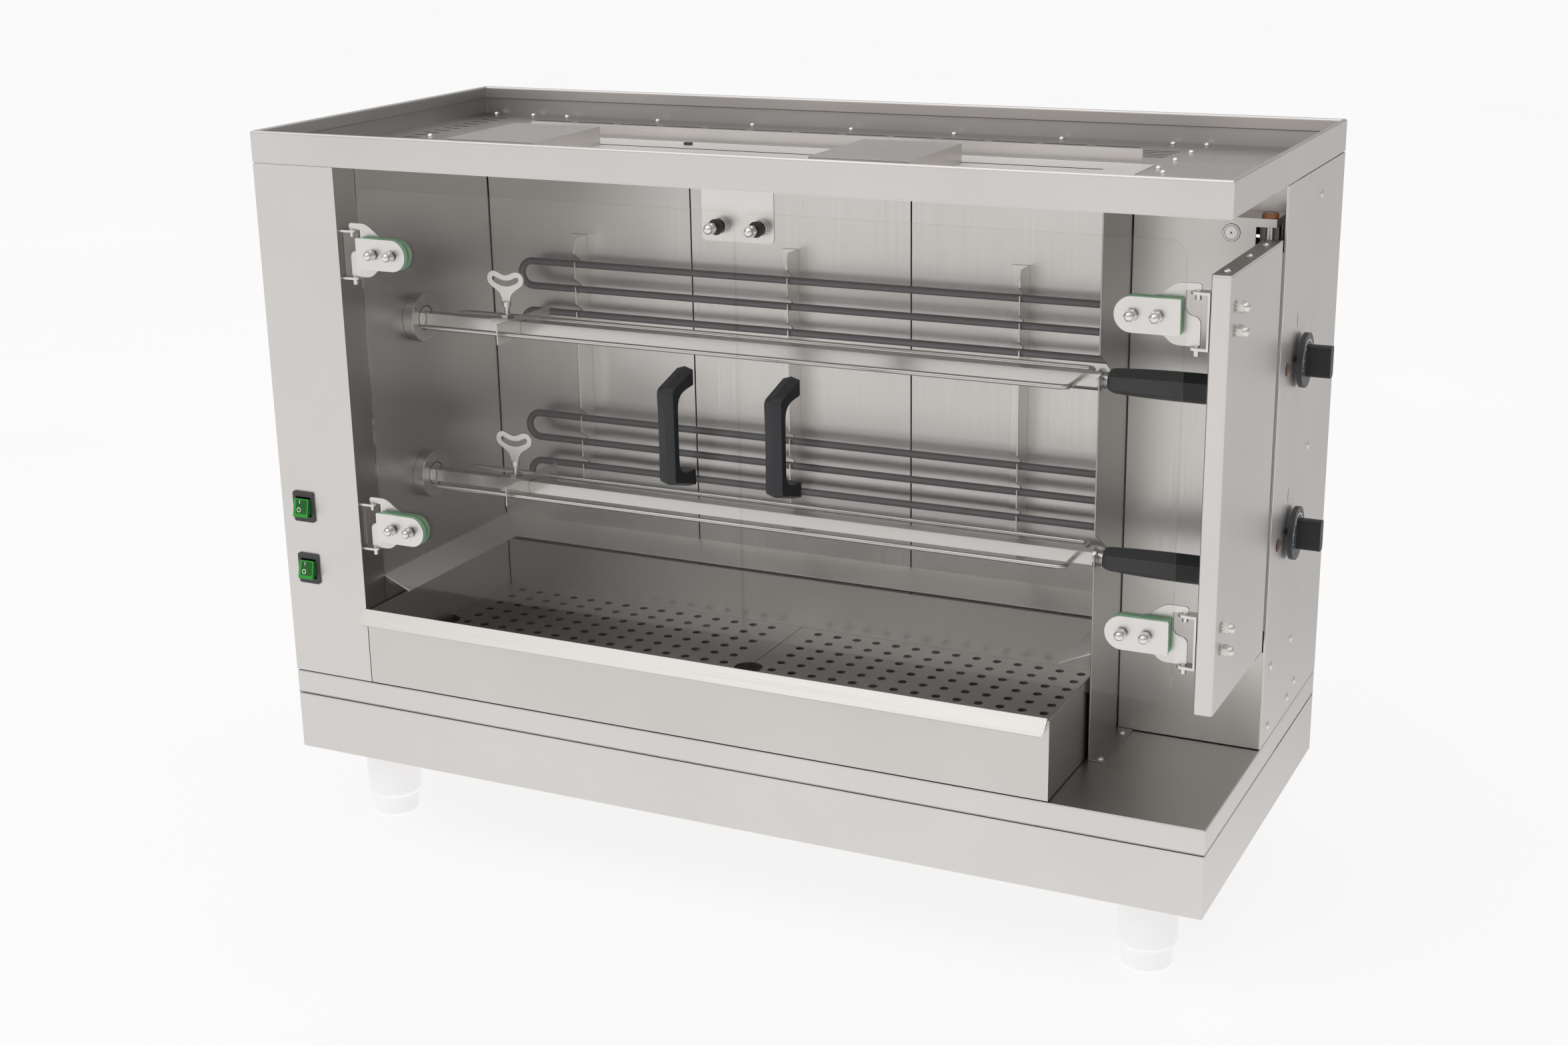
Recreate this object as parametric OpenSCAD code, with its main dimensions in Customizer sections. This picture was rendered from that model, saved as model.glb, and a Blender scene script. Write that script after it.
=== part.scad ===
// Two-spit chicken rotisserie, table-top cabinet with two glass doors, a drip drawer
// and a handle bay. Millimetres, +Z up, front toward -Y. The cabinet is drawn with x from
// its mid-width, y from its front face and z from the underside of the base box, and one
// translation puts the origin at the bottom centre of the bounding box.

/* [Cabinet] */
// width of the body without the knobs
body_w = 1050; // [900:1300]
// depth of the body without the door handles
body_d = 450; // [400:600]
// height from the base box to the top edge of the gallery rim
body_h = 700; // [620:900]
// height of the base box
base_h = 65.5; // [40:90]
// height of the work plate above the underside of the base box
plate_z = 93; // [70:120]
// width of the left service column
column_w = 103; // [80:160]
// width of the right housing and handle bay
housing_w = 150; // [130:220]
// depth of the handle bay in front of the right housing
bay_d = 205; // [180:240]
// depth of the cooking cavity
cavity_d = 288; // [260:340]
// height of the rim around the top
rim_h = 33; // [20:60]
// sheet thickness
sheet = 1.5; // [1:0.25:2]

/* [Spits] */
// height of the upper spit axis
spit_z1 = 482.6; // [440:520]
// height of the lower spit axis
spit_z2 = 302.6; // [280:330]
// distance of the spit axes from the front face
spit_y = 131; // [110:150]
// side of the square spit bar
bar_w = 13; // [10:16]
// distance of each fork rod from the spit axis
fork_y = 42.3; // [30:50]
// diameter of the fork rods
fork_d = 5; // [4:6]
// position of the sliding holder plate
holder_x = -282; // [-300:200]
// length of the spit handle
grip_l = 109; // [90:118]

/* [Doors] */
// lower edge of the glass
glass_z0 = 212; // [205:230]
// upper edge of the glass
glass_z1 = 645; // [620:655]
// thickness of the glass
glass_t = 5; // [4:6]
// corner radius of the glass
glass_r = 16; // [5:25]
// x of the gap between the two doors
seam_x = 42.4; // [20:60]
// height of the upper hinges
hinge_z1 = 577.8; // [540:600]
// height of the lower hinges
hinge_z2 = 278.2; // [250:320]
// height of the middle of the handles
handle_z = 428.5; // [380:480]

/* [Heat] */
// diameter of the element tubes
tube_d = 8; // [6:10]
// distance between the two runs of a hairpin
tube_pitch = 28.7; // [24:34]

/* [Drawer] */
// top edge of the drawer walls
drawer_z1 = 178; // [150:185]
// top face of the grates
grate_z = 120; // [110:140]
// pitch of the grate holes
hole_p = 24.05; // [20:30]
// diameter of the grate holes
hole_d = 9.6; // [7:12]

/* [Controls] */
// diameter of the dials
dial_d = 55; // [45:60]
// height of the upper dial
knob_z1 = 482.5; // [440:520]
// height of the lower dial
knob_z2 = 302.7; // [280:330]

/* [Feet] */
// height of the feet
foot_h = 93; // [70:110]
// diameter of the foot sleeves
foot_d = 61; // [45:70]

/* [Hidden] */
$fn = 48;

hw = body_w/2;
grip_end_x = 558;
gland_y = body_d + 16;
handle_y = -40.5;
off = [-(grip_end_x - hw)/2, -(gland_y + handle_y)/2, foot_h];
xl = -hw + column_w;          // cavity left wall face
xr = hw - housing_w;          // bay side of the partition
xc = xr - sheet;              // cavity right wall face
wall_top = body_h - rim_h - 1; // top of the body sheets
deck_z = wall_top + 2;
body_z = plate_z + 1;
gy0 = 3.5; gy1 = gy0 + glass_t;
pin_l = [xl + 12.2, 10];
gate_x0 = hw - 18; gate_y1 = 190.5; gate_z0 = 206.5; gate_z1 = 617;
pin_r = [gate_x0 - 12.2, 10];
gate_pin = [506.8, 213];
bush_z = 633.9;

module bx(x0, x1, y0, y1, z0, z1) translate([x0, y0, z0]) cube([x1 - x0, y1 - y0, z1 - z0]);
module cx(x0, x1, y, z, r) translate([x0, y, z]) rotate([0, 90, 0]) cylinder(h = x1 - x0, r = r);
module cy(y0, y1, x, z, r) translate([x, y1, z]) rotate([90, 0, 0]) cylinder(h = y1 - y0, r = r);
module cz(z0, z1, x, y, r) translate([x, y, z0]) cylinder(h = z1 - z0, r = r);
// a flat outline in x,z made thick along y, and one in y,z made thick along x
module slab_y(y0, y1) translate([0, y1, 0]) rotate([90, 0, 0]) linear_extrude(y1 - y0) children();
module slab_x(x0, x1) translate([x0, 0, 0]) rotate([90, 0, 90]) linear_extrude(x1 - x0) children();
// rectangle with round corners
module rr(x0, x1, y0, y1, r) {
  translate([x0 + r, y0]) square([x1 - x0 - 2*r, y1 - y0]);
  translate([x0, y0 + r]) square([x1 - x0, y1 - y0 - 2*r]);
  for (x = [x0 + r, x1 - r], y = [y0 + r, y1 - r]) translate([x, y]) circle(r);
}
// rivet or screw head with its axis along +Z
module head(r, h) intersection() { cylinder(h = h, r = r); translate([0, 0, 0.5 - (r*r - (h - 0.5)*(h - 0.5))/(2*(h - 0.5))]) sphere(r = (r*r + (h - 0.5)*(h - 0.5))/(2*(h - 0.5))); }
// cap nut standing on its stud, axis along +Z, base of the stud at z = 0
module cap_nut() { cylinder(h = 2.1, r = 3.2); translate([0, 0, 2]) cylinder(h = 5, r = 6.3, $fn = 6); translate([0, 0, 6.9]) cylinder(h = 1.1, r = 4.8);
  translate([0, 0, 8]) intersection() { sphere(r = 4.8); translate([-6, -6, 0]) cube([12, 12, 6]); } }

// ---------- base ----------
module base_plinth() color("silver") translate(off) {
  difference() {
    bx(-hw, hw, 0, body_d, 0, base_h);
    bx(-hw + sheet, hw - sheet, sheet, body_d - sheet, sheet, base_h - sheet);
    bx(-hw + 28, hw - 28, 28, body_d - 28, base_h - 5, base_h + 1);
  }
  difference() {
    bx(-hw + 8, hw - 8, 8, body_d - 8, base_h, plate_z - 25);
    bx(-hw + 28, hw - 28, 28, body_d - 28, base_h - 1, plate_z);
  }
}
module work_tray() color("silver") translate(off) difference() {
  bx(-hw, hw, 0, body_d, plate_z - 26.2, plate_z);
  bx(-hw + sheet, hw - sheet, sheet, body_d - sheet, plate_z - 27.2, plate_z - sheet);
}
module foot_sleeves() color("white") translate(off)
  for (x = [-453, 453], y = [70, body_d - 70]) translate([x, y, -foot_h + 23]) difference() {
    rotate_extrude() { translate([0, 5]) square([foot_d/2, foot_h - 28]); square([foot_d/2 - 5, foot_h - 23]); translate([foot_d/2 - 5, 5]) circle(5); }
    translate([0, 0, -1]) cylinder(h = 58, r = 8.1);
  }
module foot_ring(x, y) color("white") translate(off) translate([x, y, -foot_h]) {
  rotate_extrude() { translate([0, 3]) square([26, 19.7]); square([23, 20]); translate([23, 3]) circle(3); }
  cylinder(h = 70, r = 8);
}
module foot_front_left() foot_ring(-453, 70);
module foot_front_right() foot_ring(453, 70);
module foot_rear_left() foot_ring(-453, body_d - 70);
module foot_rear_right() foot_ring(453, body_d - 70);

// ---------- body sheets ----------
module switch_hole(z) bx(-507, -482, -1, 5, z - 15.5, z + 15.5);
module column_front() color("silver") translate(off) difference() {
  union() {
    bx(-hw, xl, 0, sheet, body_z, wall_top);
    bx(-hw, -hw + sheet, 0, 37, body_z, wall_top);
    bx(xl - sheet, xl, 0, 37, body_z, wall_top);
  }
  switch_hole(290.2); switch_hole(218.6);
}
module left_side_cover() color("silver") translate(off) bx(-hw, -hw + sheet, 37.4, body_d - sheet, body_z, wall_top);
module cavity_left_liner() color("silver") translate(off) difference() {
  bx(xl - sheet, xl, 37.5, cavity_d, body_z, wall_top);
  for (z = [spit_z1, spit_z2]) cx(xl - 4, xl + 4, spit_y, z, 14.6);
}
module rear_reflectors() color("silver") translate(off) {
  bx(xl, -157.8, cavity_d, cavity_d + sheet, body_z, wall_top);
  bx(-156.2, 107.2, cavity_d, cavity_d + sheet, body_z, wall_top);
  bx(108.8, xc, cavity_d, cavity_d + sheet, body_z, wall_top);
}
module insulation_slab() color("khaki") translate(off) bx(xl + 4, xc - 4, cavity_d + sheet, cavity_d + 26, 230, 650);
module rear_cover() color("silver") translate(off) difference() {
  bx(-hw, hw, body_d - sheet, body_d, body_z, wall_top);
  cy(body_d - 5, body_d + 5, -470, 150, 9.7);
  for (x = [-472, 450], k = [0:7]) bx(x - 28, x + 28, body_d - 5, body_d + 5, 500 + 12*k, 503 + 12*k);
}
module cable_gland() color("dimgray") translate(off) translate([-470, 0, 150]) difference() {
  union() {
    cy(body_d - 12, body_d, 0, 0, 9.6);
    translate([0, body_d, 0]) rotate([-90, 0, 0]) cylinder(h = 6, r = 14.5, $fn = 6);
    cy(body_d + 6, gland_y, 0, 0, 11.5);
    translate([0, body_d - sheet, 0]) rotate([90, 0, 0]) cylinder(h = 4, r = 14, $fn = 6);
  }
  cy(body_d - 20, gland_y + 2, 0, 0, 5.2);
}
module side_covers() color("silver") translate(off) {
  difference() {
    bx(hw - sheet, hw, bay_d, 335.7, body_z, wall_top);
    for (z = [knob_z1, knob_z2]) { cx(hw - 5, hw + 5, 284, z, 5); cx(hw - 5, hw + 5, 235.8, z, 5.3); }
  }
  bx(hw - sheet, hw, 336.3, body_d - sheet, body_z, wall_top);
}
module housing_inner_wall() color("silver") translate(off) difference() {
  bx(xc, xr, bay_d + 2.5, body_d - sheet, body_z, wall_top);
  for (z = tube_zs) cx(xc - 3, xr + 3, 266, z, tube_d/2 + 0.4);
}
module bay_wall() color("silver") translate(off) difference() {
  union() {
    bx(xr, hw - sheet, bay_d, bay_d + sheet, body_z, 199);
    bx(xr, 515, bay_d, bay_d + sheet, body_z, bush_z);
    bx(514.9, hw - sheet, bay_d, bay_d + sheet, 222, 603);
    bx(515 - sheet, 515, bay_d, 250, 197.5, bush_z);
    bx(xr, 515, bay_d, 251.5, bush_z - sheet, bush_z);
    bx(495.4, hw - sheet, bay_d, 251.5, 197.5, 199);
    bx(xr, hw - sheet, 250, 251.5, bush_z - sheet, wall_top);
    bx(495.4, hw - sheet, 250, 251.5, 197.5, bush_z);
  }
  bx(495.4, 515.5, bay_d - 1, 229, 603, 625.5);
  bx(495.4, 515.5, bay_d - 1, 229, 199, 222);
  for (z = [knob_z1, knob_z2]) cx(510, 518, 235.8, z, 6);
  cz(190, 645, gate_pin[0], gate_pin[1], 4.5);
}
function seat_cut(z) = [[spit_y - 8.3, z], [spit_y + 8.3, z], [151, z + 5], [114, z + 28], [100, z + 28], [100, z + 7], [spit_y - 8.3, z + 7]];
module spit_partition() color("silver") translate(off) {
  slab_x(xc, xr) difference() {
    translate([112, plate_z]) square([bay_d + 2 - 112, wall_top - plate_z - 1]);
    for (z = [spit_z1, spit_z2]) { translate([spit_y, z]) circle(8.3); polygon(seat_cut(z)); }
  }
  bx(xr - 0.01, xr + 17.5, 112, bay_d - 1, plate_z, plate_z + sheet);
}
module top_deck() color("silver") translate(off) difference() {
  union() {
    bx(-hw + sheet, hw - sheet, sheet, body_d - sheet, wall_top, deck_z);
    bx(xl, xc, 10, 281, deck_z, deck_z + 0.8);
    bx(-360, 357, 290, 290 + sheet, deck_z, 682);
  }
  for (k = [0:12]) bx(-422.4 + 57.9*k, -373.4 + 57.9*k, 397.6, 401.4, wall_top - 1, deck_z + 1);
  for (k = [0:17]) bx(-488, -467, 401.2 - 20*k, 404.8 - 20*k, wall_top - 1, deck_z + 1);
  for (k = [0:4]) bx(312 + k, 366 + k, 333.2 + 11*k, 336.8 + 11*k, wall_top - 1, deck_z + 1);
  translate([0, 0, wall_top - 1]) linear_extrude(5) { rr(-367, 370, 282, 288, 2.9); rr(-340, 335, 229, 233.5, 2.1); }
}
module gallery_rim() color("silver") translate(off) difference() {
  bx(-hw, hw, 0, body_d, wall_top + 1, body_h);
  bx(-hw + 5, hw - 5, 5, body_d - 5, wall_top, body_h + 1);
  difference() {
    bx(-hw + sheet, hw - sheet, sheet, body_d - sheet, wall_top, body_h - sheet);
    bx(-hw + 3.5, hw - 3.5, 3.5, body_d - 3.5, body_h - 13.5, body_h);
  }
}
module vent_covers() color("silver") translate(off) for (x = [-341, 80]) difference() {
  bx(x, x + 108, 92, 228, deck_z + 0.8, 688.4);
  bx(x + 1.2, x + 106.8, 93.2, 226.8, deck_z, 687.2);
}
module door_stop_plate() color("silver") translate(off) {
  slab_y(12, 14) { rr(4.3, 81.2, 615, wall_top, 5); translate([4.3, 640]) square([76.9, wall_top - 640]); }
  bx(12, 73, 13.9, 32, wall_top - 2, wall_top);
  for (x = [23.5, 66.5]) cy(10.8, 12.01, x, 630, 7);
}
module case_screws() color("gray") translate(off) {
  for (p = [[346.5, 637.6], [347.2, 378.2], [317.4, 176.3], [232.3, 175.8], [345.2, 119], [315.8, 110.6], [232, 110.3]])
    translate([hw, p[0], p[1]]) rotate([0, 90, 0]) head(4.5, 2.6);
  for (p = [[-510, 108], [-255, 108], [0, 108], [255, 108], [510, 108], [-510, 380], [510, 380], [-510, 652], [-255, 652], [0, 652], [255, 652], [510, 652]])
    translate([p[0], body_d, p[1]]) rotate([-90, 0, 0]) head(4.5, 2.6);
  for (x = [-503, -450, -402.5, -278, -153, -28, 97, 222, 346]) translate([x, 438, deck_z]) head(3.5, 3);
  for (p = [[382, 440], [382, 379], [382, 320], [382, 261], [394.5, 234], [-461, 235]]) translate([p[0], p[1], deck_z]) head(3.5, 3);
  for (y = [117, 190]) translate([385, y, plate_z + sheet]) head(3.5, 2.6);
  difference() {
    cy(bay_d - 1, bay_d, 472, 619, 8);
    difference() { cy(bay_d - 2, bay_d - 0.6, 472, 619, 6.8); cy(bay_d - 2, bay_d - 0.5, 472, 619, 6.4); }
    cy(bay_d - 2, bay_d - 0.5, 472, 619, 0.8);
  }
}

// ---------- heat ----------
tube_zs = [526.5, 526.5 - tube_pitch, 469.1, 469.1 - tube_pitch, 346.5, 346.5 - tube_pitch, 289.1, 289.1 - tube_pitch];
module hairpin(z) translate([0, 266, z - tube_pitch/2]) {
  for (s = [-1, 1]) { cx(-352.6, 384, 0, s*tube_pitch/2, tube_d/2); cx(384, 396, 0, s*tube_pitch/2, 5.5); cx(396, 404, 0, s*tube_pitch/2, 2); }
  intersection() {
    translate([-352.6, 0, 0]) rotate([90, 0, 0]) rotate_extrude() translate([tube_pitch/2, 0]) circle(tube_d/2);
    bx(-400, -352.6, -10, 10, -40, 40);
  }
}
module heating_elements() color("dimgray") translate(off) for (i = [0, 2, 4, 6]) hairpin(tube_zs[i]);
module element_bracket(x) {
  slab_x(x - 0.75, x + 0.75) difference() {
    polygon([[258, 243], [262, 238], [cavity_d, 236], [cavity_d, 557], [262, 557], [258, 549]]);
    for (z = tube_zs) {
      translate([266, z]) circle(tube_d/2 + 0.3);
      polygon([[261.7, z], [270.3, z], [270.3, z + 5], [257, z + 13], [257, z + 3.5], [261.7, z + 3.5]]);
    }
  }
  bx(x - 19, x, cavity_d - sheet, cavity_d, 259, 557);
}
module element_brackets() color("silver") translate(off) for (x = [-292, -25, 241]) element_bracket(x);
module drip_deflectors() color("silver") translate(off) {
  intersection() {
    slab_y(30, 300) polygon([[xl, 209], [xl + 33, 194], [xl + 32.4, 192.7], [xl, 207.4]]);
    translate([0, 0, 180]) linear_extrude(40) polygon([[xl, 37.6], [xl + 34, 37.6], [xl + 34, 254], [xl, cavity_d]]);
  }
  intersection() {
    slab_x(xl, xc) polygon([[cavity_d, 209], [cavity_d - 33, 194], [cavity_d - 32.4, 192.7], [cavity_d, 207.4]]);
    translate([0, 0, 180]) linear_extrude(40) polygon([[xl, cavity_d], [xl + 34, 254], [xc - 34, 254], [xc, cavity_d]]);
  }
  intersection() {
    slab_y(30, 300) polygon([[xc, 209], [xc - 33, 194], [xc - 32.4, 192.7], [xc, 207.4]]);
    translate([0, 0, 180]) linear_extrude(40) polygon([[xc, cavity_d], [xc - 34, 254], [xc - 34, 110], [xc, 110]]);
  }
}

// ---------- drive ----------
module bearing_flanges() color("silver") translate(off) for (z = [spit_z1, spit_z2]) difference() {
  cx(xl, xl + 13, spit_y, z, 27);
  cx(xl - 1, xl + 14, spit_y, z, 13.6);
}
module gearmotors() color("gray") translate(off) for (z = [spit_z1, spit_z2]) difference() {
  union() {
    bx(-486, -452, spit_y - 28, spit_y + 28, z - 34, z + 34);
    cx(-518, -486, spit_y, z - 8, 25);
    bx(-452, xl - sheet, spit_y - 50, spit_y - 29, z - 12, z + 12);
    bx(-470, -452, spit_y - 50, spit_y - 27.9, z - 12, z + 12);
  }
  cx(-480, -450, spit_y, z, 6.08);
}
module drive_socket(z) color("silver") translate(off) difference() {
  union() { cx(-444, xl + 12.5, spit_y, z, 13.5); cx(-474, -444, spit_y, z, 6); }
  bx(-430, xl + 13, spit_y - bar_w/2 - 0.2, spit_y + bar_w/2 + 0.2, z - bar_w/2 - 0.2, z + bar_w/2 + 0.2);
}
module drive_socket_upper() drive_socket(spit_z1);
module drive_socket_lower() drive_socket(spit_z2);

// ---------- spits ----------
module spit(z) color("silver") translate(off) {
  bx(-422, 371, spit_y - bar_w/2, spit_y + bar_w/2, z - bar_w/2, z + bar_w/2);
  cx(369.5, 373, spit_y, z, 11);
  cx(372.9, 379, spit_y, z, 8);
  cx(378.9, 450, spit_y, z, 5);
  translate([0, spit_y, z]) {
    cy(-fork_y + 8, fork_y - 8, 351, 0, fork_d/2);
    for (s = [-1, 1]) {
      cx(-378, 343, s*fork_y, 0, fork_d/2);
      translate([-394, s*fork_y, 0]) rotate([0, 90, 0]) cylinder(h = 16, r1 = 0.6, r2 = fork_d/2);
      intersection() {
        translate([343, s*(fork_y - 8), 0]) rotate_extrude() translate([8, 0]) circle(fork_d/2);
        bx(343, 359, s > 0 ? fork_y - 8 : -60, s > 0 ? 60 : -(fork_y - 8), -5, 5);
      }
    }
  }
}
module spit_upper() spit(spit_z1);
module spit_lower() spit(spit_z2);
module spit_grip(z) color("black") translate(off) translate([379, spit_y, z]) rotate([0, 90, 0]) difference() {
  rotate_extrude() polygon([[0, 0], [9.6, 0], [11.4, 2.4], [12.4, 8], [13.2, 28], [14.4, 52], [14.6, 64], [14.6, grip_l - 8], [13.6, grip_l - 2.5], [11, grip_l], [0, grip_l]]);
  translate([0, 0, -1]) cylinder(h = 74, r = 5.1);
}
module spit_handle_upper() spit_grip(spit_z1);
module spit_handle_lower() spit_grip(spit_z2);
module holder(z) color("silver") translate(off) translate([holder_x, spit_y, z]) difference() {
  union() {
    bx(-0.75, 0.75, -53, 53, -9.5, 12.5);
    bx(-36, 0, -8.4, 8.4, -8.4, 8.4);
    translate([-19.8, 0, 8]) cylinder(h = 4, r = 7.5, $fn = 6);
  }
  bx(-37, 1, -bar_w/2 - 0.3, bar_w/2 + 0.3, -bar_w/2 - 0.3, bar_w/2 + 0.3);
  for (s = [-1, 1]) cx(-2, 2, s*fork_y, 0, fork_d/2 + 0.3);
  cz(5, 14, -19.8, 0, 3.06);
}
module holder_upper() holder(spit_z1);
module holder_lower() holder(spit_z2);
module wing_key(z) color("silver") translate(off) translate([holder_x - 19.8, spit_y, z]) {
  cz(6.9, 27, 0, 0, 3);
  cz(20.9, 26.1, 0, 0, 5);
  slab_y(-1.25, 1.25) difference() {
    union() {
      for (s = [-1, 1]) { translate([s*14.2, 50.6]) circle(8.6);
        polygon([[0, 25], [s*4.5, 25], [s*4.6, 27], [s*5.8, 31.8], [s*7.6, 35], [s*11, 38.2], [s*16, 41.3], [s*20.1, 44.4], [s*14.2, 50.6], [s*13, 59.1], [s*9.5, 58.1], [s*5, 56], [0, 54.9]]); }
    }
    for (s = [-1, 1]) polygon([[-s*0.01, 42.9], [s*5, 43.4], [s*10.5, 45.2], [s*14.5, 47.2], [s*16.7, 49], [s*17.2, 51], [s*16.6, 52.8], [s*14.8, 53.6], [s*12.5, 53], [s*9.5, 51.5], [s*4.5, 49.8], [-s*0.01, 49.3]]);
  }
}
module wing_key_upper() wing_key(spit_z1);
module wing_key_lower() wing_key(spit_z2);

// ---------- hinges: u from the pin toward the door, v from the hinge centre ----------
us = [33, 56];
module leaf_outline() difference() {
  union() {
    translate([12, -16.5]) square([44.3, 33]);
    translate([56.3, 0]) circle(16.5);
    polygon([[-3, -25.2], [-1.4, -26.8], [16, -26.8], [20, -26.2], [24, -24.3], [29, -19.9], [33, -16.5], [41, -16.5], [41, 16.5], [39, 16.6], [35, 17.6], [31, 20.2], [24, 25.6], [19.5, 28.5], [15, 29.8], [-1, 29.8],
      [-3, 28.2], [-3, 23.3], [10.8, 23.3], [10.8, 8.6], [10.2, 5.6], [8.4, 2.7], [5.6, 0.8], [2.6, 0.2], [0.4, -0.5], [-1.5, -2.1], [-2.7, -4.2], [-3, -6.6]]);
  }
  for (u = us) translate([u, 0]) circle(3.1);
}
module moving_leaf() { slab_y(gy1 + 0.5, gy1 + 2.5) leaf_outline(); cz(15.4, 24.4, 0, gy1 + 1.5, 2.8); cz(-35.3, -25.6, 0, gy1 + 1.5, 2.8); }
module ear(z0) difference() {
  union() { bx(-12.2, 0, -6.6, 6.6, z0, z0 + 2.5); cz(z0, z0 + 2.5, 0, 0, 6.6); }
  cz(z0 - 1, z0 + 4, 0, 0, 2.88);
}
module fixed_leaf(front) { ear(20.5); ear(-29.6); bx(-12.2, -10.2, front, 24, -29.6, 23); }
module pad_2d() difference() { union() { translate([13, -16]) square([43.3, 32]); translate([56.3, 0]) circle(16); } for (u = us) translate([u, 0]) circle(3.1); }
module clamp_plate() {
  slab_y(-2.5, -0.5) difference() {
    union() { translate([12, -16.5]) square([44.3, 33]); translate([56.3, 0]) circle(16.5); }
    for (u = us) translate([u, 0]) circle(3.1);
  }
  slab_y(-0.5, gy0) pad_2d();
  slab_y(gy1, gy1 + 0.5) pad_2d();
  for (u = us) {
    cy(-2.5, gy1 + 2.5, u, 0, 3);
    translate([u, -2.5, 0]) rotate([90, 0, 0]) cap_nut();
    cy(gy1 + 2.5, gy1 + 5.5, u, 0, 5.5);
  }
}
module at_left(z) translate([pin_l[0], 0, z]) children();
module at_right(z) translate([pin_r[0], 0, z]) mirror([1, 0, 0]) children();
module left_hinge_leaves() color("silver") translate(off) for (z = [hinge_z1, hinge_z2]) at_left(z) translate([0, pin_l[1], 0]) fixed_leaf(-1);
module gate_hinge_leaves() color("silver") translate(off) {
  for (z = [hinge_z1, hinge_z2]) at_right(z) translate([0, pin_r[1], 0]) fixed_leaf(-6.6);
  for (z = [hinge_z1 + 8.4, hinge_z1 - 13.6, hinge_z2 + 8.4, hinge_z2 - 13.6]) translate([hw, 26, z]) rotate([0, 90, 0]) cap_nut();
}
module moving_leaves_left() color("silver") translate(off) for (z = [hinge_z1, hinge_z2]) at_left(z) moving_leaf();
module moving_leaves_right() color("silver") translate(off) for (z = [hinge_z1, hinge_z2]) at_right(z) moving_leaf();

// ---------- doors ----------
stop_x = [23.5, 66.5];
handle_xs = [-15, 101.2];
module striker(x) { cy(1.8, gy0, x, 630, 7.8); cy(-6, 1.81, x, 630, 5); translate([x, -4, 630]) rotate([90, 0, 0]) cap_nut(); cy(1.8, gy1, x, 630, 2.5); cy(gy1, gy1 + 1.6, x, 630, 8); }
module handle_screws(x) for (s = [-1, 1]) { cy(-6, gy1, x, handle_z + s*50, 2.5); cy(gy1, gy1 + 1.6, x, handle_z + s*50, 5); }
module clamp_sets_left() color("silver") translate(off) { for (z = [hinge_z1, hinge_z2]) at_left(z) clamp_plate(); striker(stop_x[0]); handle_screws(handle_xs[0]); }
module clamp_sets_right() color("silver") translate(off) { for (z = [hinge_z1, hinge_z2]) at_right(z) clamp_plate(); striker(stop_x[1]); handle_screws(handle_xs[1]); }
module glass(x0, x1, us, xs, xh) color([0.7, 0.85, 0.8, 0.4]) translate(off) slab_y(gy0, gy1) difference() {
  rr(x0, x1, glass_z0, glass_z1, glass_r);
  for (z = [hinge_z1, hinge_z2], u = us) translate([u, z]) circle(4);
  translate([xs, 630]) circle(3);
  for (s = [-1, 1]) translate([xh, handle_z + s*50]) circle(3);
}
module glass_left() glass(pin_l[0] + 11.8, seam_x - 0.8, [pin_l[0] + us[0], pin_l[0] + us[1]], stop_x[0], handle_xs[0]);
module glass_right() glass(seam_x + 0.8, pin_r[0] - 10.2, [pin_r[0] - us[0], pin_r[0] - us[1]], stop_x[1], handle_xs[1]);
module door_handle(x) color("black") translate(off) difference() {
  translate([0, 0, handle_z]) slab_x(x - 9.5, x + 9.5)
    polygon([[gy0, 61.5], [-37, 49.8], [-39.4, 48.1], [handle_y, 45.5], [handle_y, -45.5], [-39.4, -48.1], [-37, -49.8], [gy0, -61.5], [gy0, -42.8], [-9, -41.8], [-20, -39.5], [-26.5, -34], [-28.5, -28], [-28.5, 28], [-26.5, 34], [-20, 39.5], [-9, 41.8], [gy0, 42.8]]);
  for (s = [-1, 1]) cy(-6.5, gy0 + 1, x, handle_z + s*50, 2.6);
}
module handle_left() door_handle(handle_xs[0]);
module handle_right() door_handle(handle_xs[1]);

// ---------- gate ----------
module gate_post() color("silver") translate(off) {
  difference() {
    translate([0, 0, gate_z0]) linear_extrude(gate_z1 - gate_z0) { rr(gate_x0, hw, 3, 40, 3); translate([gate_x0, 20]) square([hw - gate_x0, gate_y1 - 20]); }
    translate([0, 0, gate_z0 + sheet]) linear_extrude(gate_z1 - gate_z0 - 2*sheet) { rr(gate_x0 + sheet, hw - sheet, 3 + sheet, 40, 1.5); translate([gate_x0 + sheet, 20]) square([hw - gate_x0 - 2*sheet, gate_y1 - 19]); }
    difference() { bx(gate_x0 - 1, hw + 1, 2, gate_y1 + 1, gate_z1 - 2.1, gate_z1 - 1.7); bx(gate_x0 + 0.4, hw - 0.4, 3.4, gate_y1 + 2, gate_z1 - 3, gate_z1); }
  }
  slab_x(hw - sheet, hw) difference() { polygon([[136, gate_z0], [gate_y1, gate_z0], [gate_y1, 200.5]]); translate([163, 205.4]) square([25, 0.9]); }
  for (z = [607, 202.5]) difference() {
    translate([0, 0, z]) linear_extrude(z > 300 ? 3 : 4) {
      translate(gate_pin) circle(6.5);
      translate([gate_pin[0] - 6.5, 170]) square([13, gate_pin[1] - 170]);
    }
    if (z > 300) bx(495, gate_x0 + 0.2, 150, gate_y1 - 0.5, z - 1, z + 4);
  }
  cz(607, 638.2, gate_pin[0], gate_pin[1], 4);
  cz(193, 206.5, gate_pin[0], gate_pin[1], 4);
  for (y = [24, 101, 160]) translate([515.5, y, gate_z1]) head(3.4, 2.6);
}
module gate_bushes() color("orange") translate(off) for (z = [[bush_z, bush_z + 4.5], [199, 202.2]]) difference() {
  cz(z[0], z[1], gate_pin[0], gate_pin[1], 7.9);
  cz(z[0] - 1, z[1] + 1, gate_pin[0], gate_pin[1], 4.05);
}

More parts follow.
